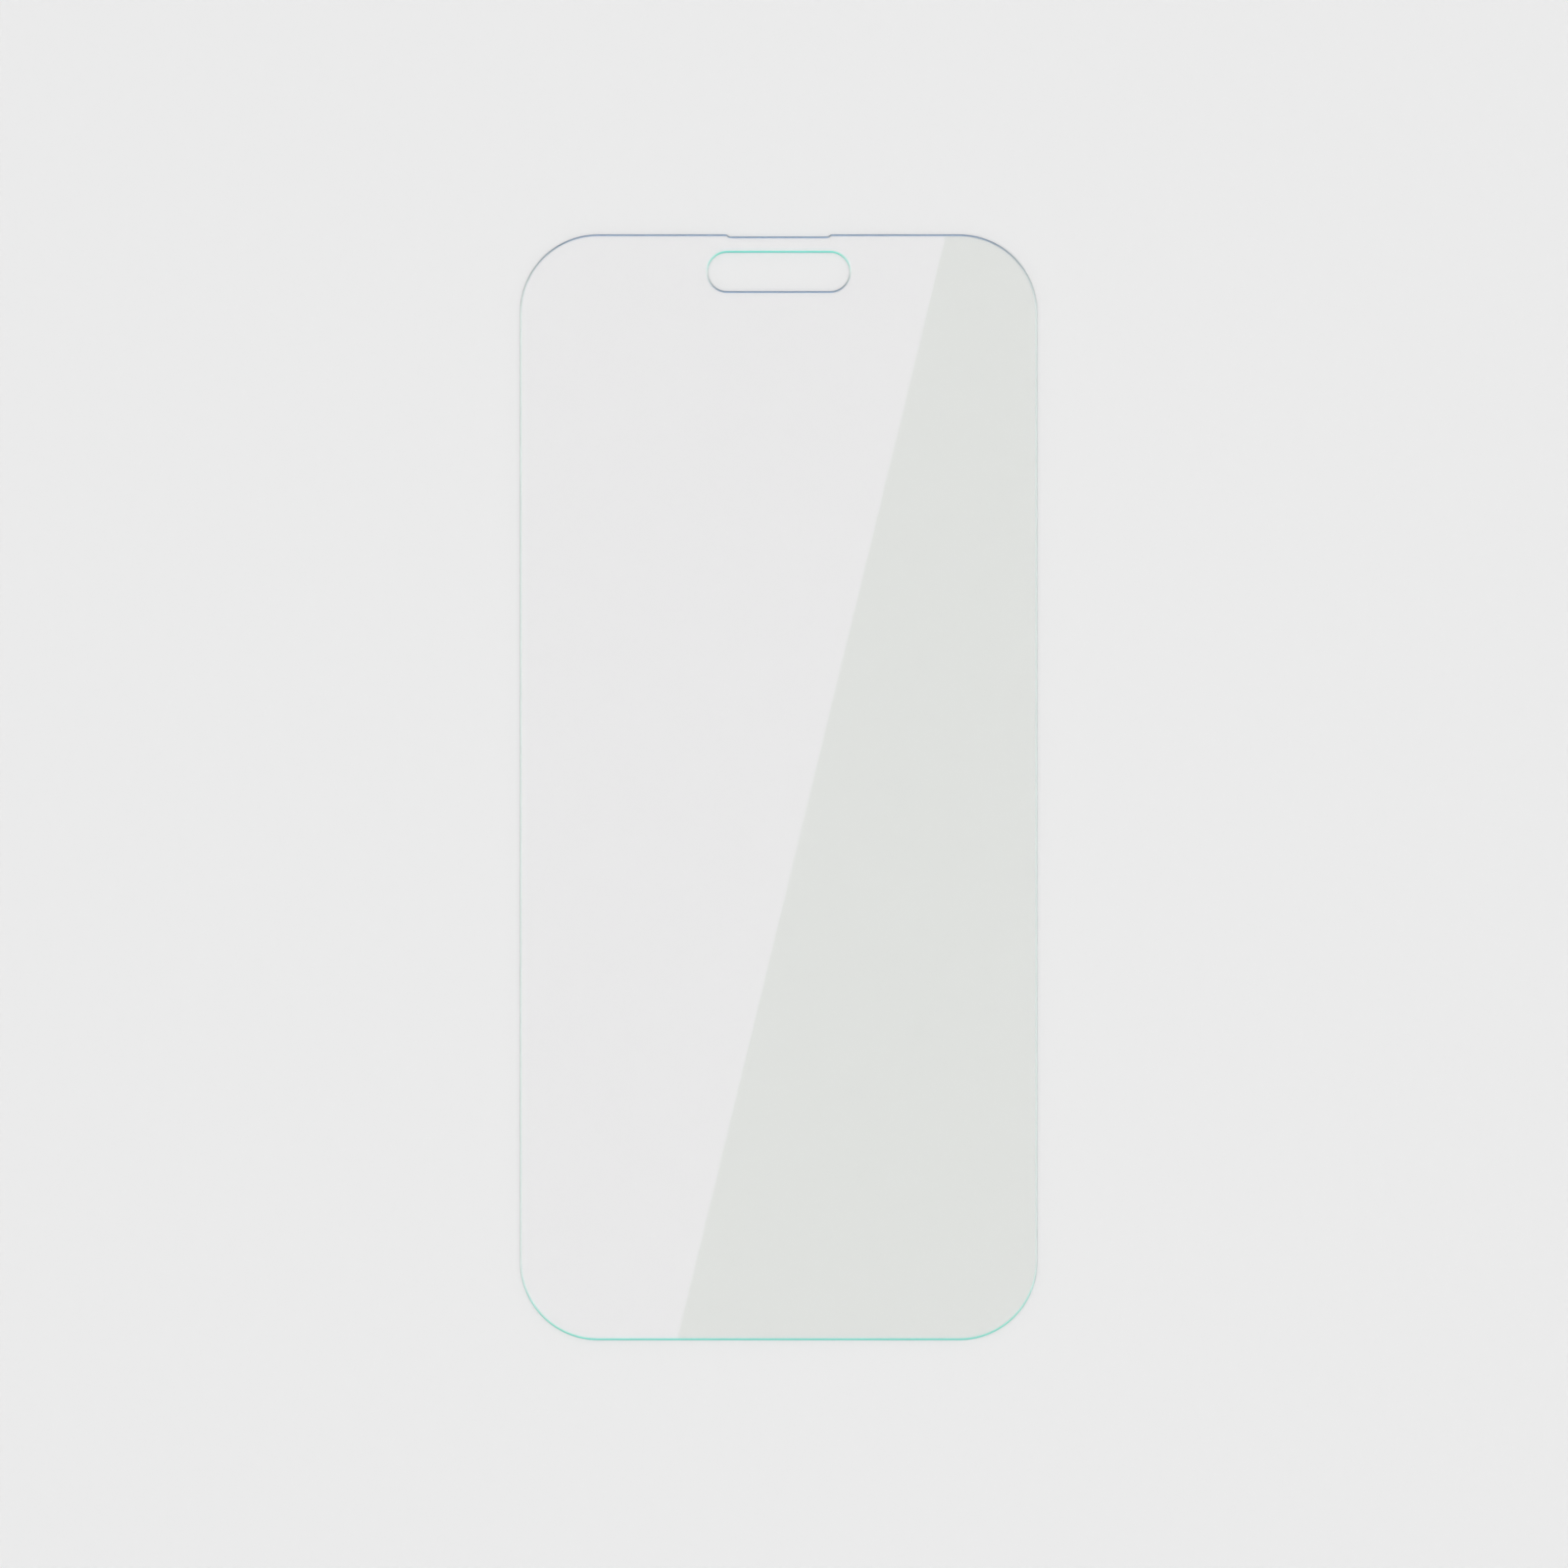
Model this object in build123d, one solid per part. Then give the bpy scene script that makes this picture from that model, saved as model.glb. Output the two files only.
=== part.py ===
from build123d import *

import os
from math import acos, degrees, radians, sin

# Tempered-glass screen protector for a large phone: one flat sheet, its front edge ground round,
# with a pill-shaped opening for the front camera and a shallow notch for the earpiece.
# Millimetres. The back face, which bonds to the phone, lies on Z = 0 with the origin at its centre.
# +Z looks out of the front face and +Y runs to the end with the camera opening.

# Sheet
sheet_width = 73.1
sheet_length = 156.3
sheet_thickness = 0.33
corner_radius = 11.0

# Edges: the front is rounded, the back only broken, and a straight land is left between the two
front_edge_radius = 0.25
back_edge_chamfer = 0.04
least_edge_land = 0.02

# Camera opening: a slot with half-round ends, measured at its straight wall
opening_width = 20.0
opening_height = 5.45
opening_from_top = 5.3

# Earpiece notch in the top edge: its width is taken half-way up its S-shaped ends
notch_width = 14.3
notch_depth = 0.3
notch_end_radius = 0.5

top_edge_y = sheet_length / 2
opening_centre_y = top_edge_y - opening_from_top


def right_half_outline():
    """The sheet's edge from the middle of the notch round to the middle of the foot, on the +X side."""
    corner_x = sheet_width / 2 - corner_radius
    # Two equal arcs, one up and one back to level, climb the notch's depth without a corner.
    climb_angle = degrees(acos(1 - notch_depth / (2 * notch_end_radius)))
    climb_length = 2 * notch_end_radius * sin(radians(climb_angle))
    notch_floor_y = top_edge_y - notch_depth
    notch_floor_end = (notch_width - climb_length) / 2

    notch_floor = Line((0, notch_floor_y), (notch_floor_end, notch_floor_y))
    climb = JernArc(notch_floor @ 1, notch_floor % 1, notch_end_radius, climb_angle)
    level_out = JernArc(climb @ 1, climb % 1, notch_end_radius, -climb_angle)
    top_edge = Line(level_out @ 1, (corner_x, top_edge_y))
    top_corner = JernArc(top_edge @ 1, top_edge % 1, corner_radius, -90)
    side = Line(top_corner @ 1, (sheet_width / 2, corner_radius - sheet_length / 2))
    foot_corner = JernArc(side @ 1, side % 1, corner_radius, -90)
    foot = Line(foot_corner @ 1, (0, -sheet_length / 2))
    return [notch_floor, climb, level_out, top_edge, top_corner, side, foot_corner, foot]


def flat_glass():
    """The sheet as it is cut, with square edges."""
    right_half = Curve() + right_half_outline()
    outline = make_face(right_half + mirror(right_half, about=Plane.YZ))
    opening = Pos(0, opening_centre_y) * SlotOverall(opening_width, opening_height)
    return extrude(outline - opening, sheet_thickness)


def ground_glass():
    """The sheet with its edges ground, round the outline and round the camera opening alike."""
    edge_room = sheet_thickness - back_edge_chamfer - least_edge_land
    glass = flat_glass()
    front_edges = glass.faces().sort_by(Axis.Z)[-1].edges()
    glass = fillet(front_edges, min(front_edge_radius, edge_room))
    back_edges = glass.faces().sort_by(Axis.Z)[0].edges()
    return chamfer(back_edges, back_edge_chamfer)


os.makedirs("parts", exist_ok=True)
export_step(ground_glass(), "parts/glass_sheet.step")
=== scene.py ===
from math import acos, atan2, cos, pi, tan

import bpy
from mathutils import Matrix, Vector


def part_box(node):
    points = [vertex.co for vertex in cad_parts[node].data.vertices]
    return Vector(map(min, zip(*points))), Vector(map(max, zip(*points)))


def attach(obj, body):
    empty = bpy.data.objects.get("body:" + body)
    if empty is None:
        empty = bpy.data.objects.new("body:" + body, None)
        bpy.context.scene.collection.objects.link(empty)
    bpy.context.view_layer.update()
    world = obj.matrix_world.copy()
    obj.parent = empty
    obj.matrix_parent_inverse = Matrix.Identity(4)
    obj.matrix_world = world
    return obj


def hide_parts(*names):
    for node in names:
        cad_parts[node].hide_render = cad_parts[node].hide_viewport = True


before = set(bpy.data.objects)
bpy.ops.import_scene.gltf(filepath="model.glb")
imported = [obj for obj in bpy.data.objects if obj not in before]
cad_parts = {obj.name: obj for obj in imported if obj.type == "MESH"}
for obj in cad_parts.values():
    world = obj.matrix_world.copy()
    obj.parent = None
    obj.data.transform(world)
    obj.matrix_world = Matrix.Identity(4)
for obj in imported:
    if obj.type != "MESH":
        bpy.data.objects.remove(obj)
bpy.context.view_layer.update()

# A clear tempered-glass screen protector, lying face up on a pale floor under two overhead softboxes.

sheet_low, sheet_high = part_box("glass_sheet")

# Sheet, in metres: its overall sizes are the frame's
MM = 0.001
SHEET_WIDTH = sheet_high.x - sheet_low.x
SHEET_LENGTH = sheet_high.y - sheet_low.y
SHEET_THICKNESS = sheet_high.z - sheet_low.z
CORNER_RADIUS = 11.0 * MM
FRONT_EDGE_RADIUS = 0.25 * MM
BACK_EDGE_CHAMFER = 0.04 * MM

# Camera opening and earpiece notch
OPENING_WIDTH = 20.0 * MM
OPENING_HEIGHT = 5.45 * MM
OPENING_FROM_TOP = 5.3 * MM
NOTCH_WIDTH = 14.3 * MM
NOTCH_DEPTH = 0.3 * MM
NOTCH_END_RADIUS = 0.5 * MM

# How finely the rounds are divided
STEPS_PER_CORNER = 32
STEPS_ACROSS_EDGE = 8
WELD_DISTANCE = 0.0002 * MM

# Polished faces: clear glass, with a coat that tints what it mirrors and a faint haze in its polish
GLASS_IOR = 1.5
POLISHED_TINT = (0.9647, 0.9678, 0.9634, 1)
COATED_MIRROR_TINT = (0.923, 0.705, 1.0, 1)
HAZE_SCALE = 70.0
HAZE_DETAIL = 3.0
HAZE_SPREAD = (0.3, 0.7)
POLISHED_ROUGHNESS = (0.004, 0.012)

# Ground edge: part clear and part frosted, with a fine grain; it bends light less than the faces do
EDGE_CLEARNESS = 0.6
EDGE_IOR = 1.1
GRAIN_SCALE = 9000.0
GRAIN_DETAIL = 2.0
GRAIN_STRENGTH = 0.3
GRAIN_HEIGHT = 0.005 * MM
GROUND_ROUGHNESS = (0.25, 0.45)
# Its painted reflection and shade: a tint at every 30 degrees of turn, from facing the foot, past facing a
# side, to facing the top, set by the way the edge faces instead of by the room's light
EDGE_PAINTED_LIGHT_TINTS = [
    (0.25, 0.89, 0.77),
    (0.37, 0.93, 0.78),
    (0.58, 0.96, 0.89),
    (0.88, 0.97, 0.95),
    (0.60, 0.67, 0.69),
    (0.36, 0.43, 0.52),
    (0.34, 0.45, 0.62),
]

# The photograph's frame: its side, the sheet's scale in it, and where the sheet's centre falls
PHOTO_SIDE = 1600
PHOTO_PIXEL = 0.1385 * MM
SHEET_CENTRE_PIXEL = Vector((794.55, 803.37))
# Where the edge of the softbox's reflection crosses the photograph, top and foot of the sheet
GLARE_TOP_PIXEL = Vector((965.02, 240.5))
GLARE_FOOT_PIXEL = Vector((691.12, 1366.5))

LENS = 150.0
SENSOR = 36.0

# Studio: levels are brightness, where 1 is white
FLOOR_GAP = 0.02 * MM
FLOOR_SIDE = 12.0
FLOOR_COLOUR = (0.831, 0.831, 0.831, 1)
SOFTBOX_HEIGHT = 3.0
SOFTBOX_SIZE = (2.6, 5.2)
SOFTBOX_LEVEL = 1.09
SOFTBOX_GAP = 0.283
# Room: heights run from 0 at the horizon to 1 overhead
WALL_LEVEL = 0.8
CEILING_LEVEL = 0.318
CEILING_HEIGHT = 0.5
LIT_PANELS = 24
LIT_PANEL_SHARE = 0.4
LIT_PANEL_LEAN = -2.4
LIT_PANEL_LEVEL = 0.95
LIT_PANEL_FOOT = 0.1
LIT_PANEL_BRIGHTEST = 0.7
LIT_PANEL_TOP = 0.8


def photo_to_sheet(pixel):
    """The point of the front face, from its centre, that a pixel of the photograph shows."""
    across = pixel - SHEET_CENTRE_PIXEL
    return Vector((across.x, -across.y)) * PHOTO_PIXEL


def outline_corners():
    """Corner points of the sheet, with the radius of each round, counter-clockwise from the foot's left."""
    half_width = SHEET_WIDTH / 2
    half_length = SHEET_LENGTH / 2
    slope = acos(1 - NOTCH_DEPTH / (2 * NOTCH_END_RADIUS))
    half_run = NOTCH_END_RADIUS * tan(slope / 2) * cos(slope)
    mouth = NOTCH_WIDTH / 2 + half_run
    notch_floor = NOTCH_WIDTH / 2 - half_run
    notch_floor_y = half_length - NOTCH_DEPTH
    return [
        (-half_width, -half_length, CORNER_RADIUS),
        (half_width, -half_length, CORNER_RADIUS),
        (half_width, half_length, CORNER_RADIUS),
        (mouth, half_length, NOTCH_END_RADIUS),
        (notch_floor, notch_floor_y, NOTCH_END_RADIUS),
        (-notch_floor, notch_floor_y, NOTCH_END_RADIUS),
        (-mouth, half_length, NOTCH_END_RADIUS),
        (-half_width, half_length, CORNER_RADIUS),
    ]


def opening_corners():
    """Corner points of the camera opening, clockwise, so that the glass stays on the left of the path."""
    half_width = OPENING_WIDTH / 2
    round_end = OPENING_HEIGHT / 2
    centre_y = SHEET_LENGTH / 2 - OPENING_FROM_TOP
    low = centre_y - round_end
    high = centre_y + round_end
    return [
        (-half_width, low, round_end),
        (-half_width, high, round_end),
        (half_width, high, round_end),
        (half_width, low, round_end),
    ]


def corner_loops(name, loops):
    """A mesh of closed loops of edges, each vertex with the radius that rounds it."""
    points = [corner for loop in loops for corner in loop]
    edges = []
    start = 0
    for loop in loops:
        count = len(loop)
        edges += [(start + i, start + (i + 1) % count) for i in range(count)]
        start += count
    mesh = bpy.data.meshes.new(name)
    mesh.from_pydata([(x, y, 0) for x, y, _ in points], edges, [])
    radius = mesh.attributes.new("corner_radius", "FLOAT", "POINT")
    radius.data.foreach_set("value", [r for _, _, r in points])
    piece = bpy.data.objects.new(name, mesh)
    bpy.context.scene.collection.objects.link(piece)
    return piece


class Tree:
    """A node tree with short ways to add nodes, sums and links."""

    def __init__(self, tree):
        self.tree = tree

    def feed(self, socket, value):
        if isinstance(value, bpy.types.NodeSocket):
            self.tree.links.new(value, socket)
        else:
            socket.default_value = value

    def add(self, kind, inputs=None, **settings):
        node = self.tree.nodes.new(kind)
        for key, value in settings.items():
            setattr(node, key, value)
        for key, value in (inputs or {}).items():
            self.feed(node.inputs[key], value)
        return node

    def maths(self, operation, *values):
        node = self.add("ShaderNodeMath", operation=operation)
        for socket, value in zip(node.inputs, values):
            self.feed(socket, value)
        return node.outputs[0]

    def vector(self, x, y, z):
        return self.add("ShaderNodeCombineXYZ", {"X": x, "Y": y, "Z": z}).outputs[0]

    def attribute(self, name, data_type):
        node = self.add("GeometryNodeInputNamedAttribute", {"Name": name}, data_type=data_type)
        return node.outputs[0]

    def store(self, geometry, name, value, data_type, domain):
        given = {"Geometry": geometry, "Name": name, "Value": value}
        kinds = {"data_type": data_type, "domain": domain}
        return self.add("GeometryNodeStoreNamedAttribute", given, **kinds).outputs[0]

    def join(self, *parts):
        node = self.add("GeometryNodeJoinGeometry")
        for part in parts:
            self.tree.links.new(part, node.inputs[0])
        return node.outputs[0]

    def ramp(self, value, stops):
        """A colour that runs straight from stop to stop. A stop is a place from 0 to 1 and its colour."""
        node = self.add("ShaderNodeValToRGB", {"Fac": value})
        elements = node.color_ramp.elements
        for place, _ in stops[1:-1]:
            elements.new(place)
        for element, (place, _) in zip(elements, stops):
            element.position = place
        for element, (_, colour) in zip(elements, stops):
            element.color = (*colour, 1)
        return node.outputs["Color"]

    def between(self, value, source, target):
        """The value, mapped from one range to another."""
        given = {"Value": value, "From Min": source[0], "From Max": source[1],
                 "To Min": target[0], "To Max": target[1]}
        return self.add("ShaderNodeMapRange", given).outputs[0]


def edge_profile(t, thickness, radius, chamfer, steps):
    """The ground edge's section as a curve, from the front face to the back: X is outwards, -Y is up."""
    index = t.add("GeometryNodeInputIndex").outputs[0]
    turned = t.maths("MINIMUM", t.maths("DIVIDE", index, steps), 1.0)
    angle = t.maths("MULTIPLY", turned, pi / 2)
    past_round = t.maths("GREATER_THAN", index, steps)
    at_foot = t.maths("GREATER_THAN", index, t.maths("ADD", steps, 1.0))

    round_x = t.maths("MULTIPLY", radius, t.maths("SUBTRACT", t.maths("SINE", angle), 1.0))
    x = t.maths("SUBTRACT", round_x, t.maths("MULTIPLY", chamfer, at_foot))
    drop = t.maths("MULTIPLY", radius, t.maths("SUBTRACT", 1.0, t.maths("COSINE", angle)))
    round_z = t.maths("SUBTRACT", thickness, drop)
    land_z = t.maths("MULTIPLY", chamfer, t.maths("SUBTRACT", 1.0, at_foot))
    fall = t.maths("MULTIPLY", past_round, t.maths("SUBTRACT", land_z, round_z))
    z = t.maths("ADD", round_z, fall)

    line = t.add("GeometryNodeCurvePrimitiveLine").outputs[0]
    # One point for each step of the round, one that closes it, and two for the land and the chamfer
    count = t.maths("ADD", steps, 3.0)
    points = t.add("GeometryNodeResampleCurve", {"Curve": line, "Count": count}, mode="COUNT").outputs[0]
    place = t.vector(x, t.maths("MULTIPLY", z, -1.0), 0.0)
    return t.add("GeometryNodeSetPosition", {"Geometry": points, "Position": place}).outputs[0]


def rounded_path(t, loops, steps):
    """The loops with their corners rounded and doubled points joined, normals pointing out of the glass."""
    curve = t.add("GeometryNodeMeshToCurve", {"Mesh": loops}).outputs[0]
    radius = t.attribute("corner_radius", "FLOAT")
    given = {"Curve": curve, "Count": steps, "Radius": radius, "Limit Radius": True}
    rounded = t.add("GeometryNodeFilletCurve", given, mode="POLY").outputs[0]
    wire = t.add("GeometryNodeCurveToMesh", {"Curve": rounded}).outputs[0]
    welded = t.add("GeometryNodeMergeByDistance", {"Geometry": wire, "Distance": WELD_DISTANCE}).outputs[0]
    path = t.add("GeometryNodeMeshToCurve", {"Mesh": welded}).outputs[0]
    return t.add("GeometryNodeSetCurveNormal", {"Curve": path}, mode="Z_UP").outputs[0]


def ground_edge(t, path, profile):
    """The edge swept along the path. Its turn is 0 where it faces the foot, 0.5 a side and 1 the top."""
    normal = t.add("GeometryNodeInputNormal").outputs[0]
    facing = t.add("ShaderNodeSeparateXYZ", {0: normal}).outputs["Y"]
    turn = t.maths("MULTIPLY_ADD", t.maths("ARCSINE", facing), 1 / pi, 0.5)
    path = t.store(path, "path_turn", turn, "FLOAT", "POINT")
    swept = t.add("GeometryNodeCurveToMesh", {"Curve": path, "Profile Curve": profile}).outputs[0]
    edge = t.add("GeometryNodeSetShadeSmooth", {"Geometry": swept, "Shade Smooth": True}).outputs[0]
    edge = t.store(edge, "edge_turn", t.attribute("path_turn", "FLOAT"), "FLOAT", "CORNER")
    return t.store(edge, "ground_edge", True, "BOOLEAN", "FACE")


def flat_face(t, path, inset, height):
    """The flat glass inside the path, drawn in from it by the width of the ground edge."""
    normal = t.add("GeometryNodeInputNormal").outputs[0]
    inwards = t.maths("MULTIPLY", inset, -1.0)
    offset = t.add("ShaderNodeVectorMath", {0: normal, "Scale": inwards}, operation="SCALE").outputs[0]
    drawn_in = t.add("GeometryNodeSetPosition", {"Geometry": path, "Offset": offset}).outputs[0]
    face = t.add("GeometryNodeFillCurve", {"Curve": drawn_in}, mode="NGONS").outputs[0]
    up = t.vector(0.0, 0.0, height)
    return t.add("GeometryNodeTransform", {"Geometry": face, "Translation": up}).outputs[0]


def ground_sheet_tree():
    """Sweeps the ground edge along the outline and the opening, and closes it with flat faces."""
    tree = bpy.data.node_groups.new("ground_sheet", "GeometryNodeTree")
    kinds = {
        "Loops": "NodeSocketGeometry",
        "Thickness": "NodeSocketFloat",
        "Front Edge Radius": "NodeSocketFloat",
        "Back Edge Chamfer": "NodeSocketFloat",
        "Corner Steps": "NodeSocketInt",
        "Edge Steps": "NodeSocketInt",
        "Face Glass": "NodeSocketMaterial",
        "Edge Glass": "NodeSocketMaterial",
    }
    for name, kind in kinds.items():
        tree.interface.new_socket(name, in_out="INPUT", socket_type=kind)
    tree.interface.new_socket("Sheet", in_out="OUTPUT", socket_type="NodeSocketGeometry")
    t = Tree(tree)
    given = t.add("NodeGroupInput").outputs
    thickness = given["Thickness"]
    radius = given["Front Edge Radius"]
    chamfer = given["Back Edge Chamfer"]

    path = rounded_path(t, given["Loops"], given["Corner Steps"])
    profile = edge_profile(t, thickness, radius, chamfer, given["Edge Steps"])
    edge = ground_edge(t, path, profile)
    front = flat_face(t, path, radius, thickness)
    back = t.add("GeometryNodeFlipFaces", {"Mesh": flat_face(t, path, chamfer, 0.0)}).outputs[0]
    flats = {"Geometry": t.join(front, back), "Shade Smooth": False}
    flats = t.add("GeometryNodeSetShadeSmooth", flats).outputs[0]

    parts = {"Geometry": t.join(edge, flats), "Distance": WELD_DISTANCE}
    sheet = t.add("GeometryNodeMergeByDistance", parts).outputs[0]
    sheet = t.add("GeometryNodeRealizeInstances", {"Geometry": sheet}).outputs[0]
    faces = {"Geometry": sheet, "Material": given["Face Glass"]}
    sheet = t.add("GeometryNodeSetMaterial", faces).outputs[0]
    ground = t.attribute("ground_edge", "BOOLEAN")
    edges = {"Geometry": sheet, "Selection": ground, "Material": given["Edge Glass"]}
    sheet = t.add("GeometryNodeSetMaterial", edges).outputs[0]
    t.add("NodeGroupOutput", {"Sheet": sheet})
    return tree


def plain_mesh(piece, tree, values, helpers):
    """Runs the tree on the piece with these inputs and keeps the result, less its helpers, as its mesh."""
    modifier = piece.modifiers.new(tree.name, "NODES")
    modifier.node_group = tree
    for socket in tree.interface.items_tree:
        if socket.in_out == "INPUT" and socket.name in values:
            modifier[socket.identifier] = values[socket.name]
    graph = bpy.context.evaluated_depsgraph_get()
    made = bpy.data.meshes.new_from_object(piece.evaluated_get(graph), depsgraph=graph)
    piece.modifiers.remove(modifier)
    made.materials.pop(index=0)  # the empty slot that the bare loops bring along
    for name in helpers:
        made.attributes.remove(made.attributes[name])
    piece.data = made
    made.name = piece.name


def new_material(name):
    """A material, with its node tree and the shader that is in it from the start."""
    material = bpy.data.materials.new(name)
    material.use_nodes = True
    return material, Tree(material.node_tree), material.node_tree.nodes["Principled BSDF"]


def polished_glass():
    """The flat faces: clear, a trace green, with a mirror polish that is a little finer here than there."""
    material, t, shader = new_material("polished_glass")
    place = t.add("ShaderNodeTexCoord").outputs["Object"]
    noise = {"Vector": place, "Scale": HAZE_SCALE, "Detail": HAZE_DETAIL}
    haze = t.add("ShaderNodeTexNoise", noise).outputs["Fac"]
    t.feed(shader.inputs["Roughness"], t.between(haze, HAZE_SPREAD, POLISHED_ROUGHNESS))
    shader.inputs["Base Color"].default_value = POLISHED_TINT
    shader.inputs["Transmission Weight"].default_value = 1.0
    shader.inputs["IOR"].default_value = GLASS_IOR
    shader.inputs["Specular Tint"].default_value = COATED_MIRROR_TINT
    return material


def ground_glass():
    """The ground edge, with painted reflection and shade: green where it faces the foot, pale at the sides
    and grey-blue at the top, by the way it faces.
    """
    material, t, shader = new_material("ground_glass")
    turn = t.add("ShaderNodeAttribute", attribute_name="edge_turn").outputs["Fac"]
    last = len(EDGE_PAINTED_LIGHT_TINTS) - 1
    stops = [(index / last, tint) for index, tint in enumerate(EDGE_PAINTED_LIGHT_TINTS)]
    # Painted reflection and shade: the edge's colour follows the way it faces, not the light that reaches
    # it
    t.feed(shader.inputs["Base Color"], t.ramp(turn, stops))

    place = t.add("ShaderNodeTexCoord").outputs["Object"]
    noise = {"Vector": place, "Scale": GRAIN_SCALE, "Detail": GRAIN_DETAIL}
    grain = t.add("ShaderNodeTexNoise", noise).outputs["Fac"]
    t.feed(shader.inputs["Roughness"], t.between(grain, (0.0, 1.0), GROUND_ROUGHNESS))
    relief = {"Height": grain, "Strength": GRAIN_STRENGTH, "Distance": GRAIN_HEIGHT}
    t.feed(shader.inputs["Normal"], t.add("ShaderNodeBump", relief).outputs[0])
    shader.inputs["Transmission Weight"].default_value = EDGE_CLEARNESS
    shader.inputs["IOR"].default_value = EDGE_IOR
    return material


def glass_sheet():
    """The whole sheet as one piece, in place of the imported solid."""
    piece = corner_loops("protector_sheet", [outline_corners(), opening_corners()])
    values = {
        "Thickness": SHEET_THICKNESS,
        "Front Edge Radius": FRONT_EDGE_RADIUS,
        "Back Edge Chamfer": BACK_EDGE_CHAMFER,
        "Corner Steps": STEPS_PER_CORNER,
        "Edge Steps": STEPS_ACROSS_EDGE,
        "Face Glass": polished_glass(),
        "Edge Glass": ground_glass(),
    }
    plain_mesh(piece, ground_sheet_tree(), values, helpers=["corner_radius", "path_turn", "ground_edge"])
    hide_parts("glass_sheet")
    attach(piece, "root")


def camera():
    """Looks straight down on the sheet, which lies where the photograph has it in the frame."""
    data = bpy.data.cameras.new("camera")
    data.lens = LENS
    data.sensor_width = SENSOR
    eye = bpy.data.objects.new("camera", data)
    distance = PHOTO_SIDE * PHOTO_PIXEL * LENS / SENSOR
    middle = photo_to_sheet(Vector((PHOTO_SIDE, PHOTO_SIDE)) / 2)
    eye.location = (middle.x, middle.y, SHEET_THICKNESS + distance)
    data.clip_end = 2 * distance
    bpy.context.scene.collection.objects.link(eye)
    bpy.context.scene.camera = eye
    return eye


def floor():
    """A plain matt floor, just under the sheet."""
    half = FLOOR_SIDE / 2
    mesh = bpy.data.meshes.new("floor")
    corners = [(-half, -half), (half, -half), (half, half), (-half, half)]
    mesh.from_pydata([(x, y, -FLOOR_GAP) for x, y in corners], [], [(0, 1, 2, 3)])
    material, _, shader = new_material("floor")
    shader.inputs["Base Color"].default_value = FLOOR_COLOUR
    shader.inputs["Roughness"].default_value = 1.0
    shader.inputs["Specular IOR Level"].default_value = 0.0
    mesh.materials.append(material)
    ground = bpy.data.objects.new("floor", mesh)
    bpy.context.scene.collection.objects.link(ground)


def grey(level):
    return (level, level, level)


def room():
    """Pale walls under a dim ceiling, and a ring of leaning lit panels that the glass mirrors aslant."""
    world = bpy.data.worlds.new("room")
    world.use_nodes = True
    t = Tree(world.node_tree)
    towards = t.add("ShaderNodeTexCoord").outputs["Generated"]
    height = t.add("ShaderNodeSeparateXYZ", {0: towards}).outputs["Z"]
    wall = t.ramp(height, [(0.0, grey(WALL_LEVEL)), (CEILING_HEIGHT, grey(CEILING_LEVEL))])
    glow = t.ramp(height, [
        (LIT_PANEL_FOOT, grey(0.0)),
        (LIT_PANEL_BRIGHTEST, grey(LIT_PANEL_LEVEL)),
        (LIT_PANEL_TOP, grey(0.0)),
    ])

    turn = t.add("ShaderNodeTexGradient", {"Vector": towards}, gradient_type="RADIAL").outputs["Fac"]
    count = t.maths("MULTIPLY", turn, LIT_PANELS)
    leaning = t.maths("ADD", count, t.maths("MULTIPLY", height, LIT_PANEL_LEAN))
    # 0 in the middle of a panel and 0.5 half-way to the next
    from_middle = t.maths("PINGPONG", leaning, 0.5)
    lit = t.maths("LESS_THAN", from_middle, LIT_PANEL_SHARE / 2)
    level = t.maths("ADD", wall, t.maths("MULTIPLY", lit, glow))
    background = world.node_tree.nodes["Background"]
    background.inputs["Color"].default_value = (*grey(1.0), 1)
    t.feed(background.inputs["Strength"], level)
    bpy.context.scene.world = world


def softbox(name, edge_middle, along, side):
    """A panel overhead whose straight edge passes through a point. side is -1 with the panel left of it."""
    width, length = SOFTBOX_SIZE
    data = bpy.data.lights.new(name, "AREA")
    data.shape = "RECTANGLE"
    data.size = width
    data.size_y = length
    data.energy = SOFTBOX_LEVEL * pi * width * length
    lamp = bpy.data.objects.new(name, data)
    across = Vector((along.y, -along.x))
    middle = edge_middle + across * side * width / 2
    lamp.location = (middle.x, middle.y, SHEET_THICKNESS + SOFTBOX_HEIGHT)
    lamp.rotation_euler.z = atan2(-along.x, along.y)
    bpy.context.scene.collection.objects.link(lamp)


def softboxes(eye):
    """Two panels with a gap between them: the left one's edge is mirrored along the photograph's glare."""
    top = photo_to_sheet(GLARE_TOP_PIXEL)
    foot = photo_to_sheet(GLARE_FOOT_PIXEL)
    along = (top - foot).normalized()
    across = Vector((along.y, -along.x))
    beyond = SOFTBOX_HEIGHT / (eye.location.z - SHEET_THICKNESS)
    middle = (top + foot) / 2
    mirrored = middle + (middle - eye.location.xy) * beyond
    softbox("left_softbox", mirrored, along, -1)
    softbox("right_softbox", mirrored + across * SOFTBOX_GAP, along, 1)


glass_sheet()
eye = camera()
floor()
room()
softboxes(eye)
bpy.context.scene.view_settings.view_transform = "Standard"
# Light that passes the polished glass stays sharp, so that none is lost under the sheet
bpy.context.scene.cycles.blur_glossy = 0.0
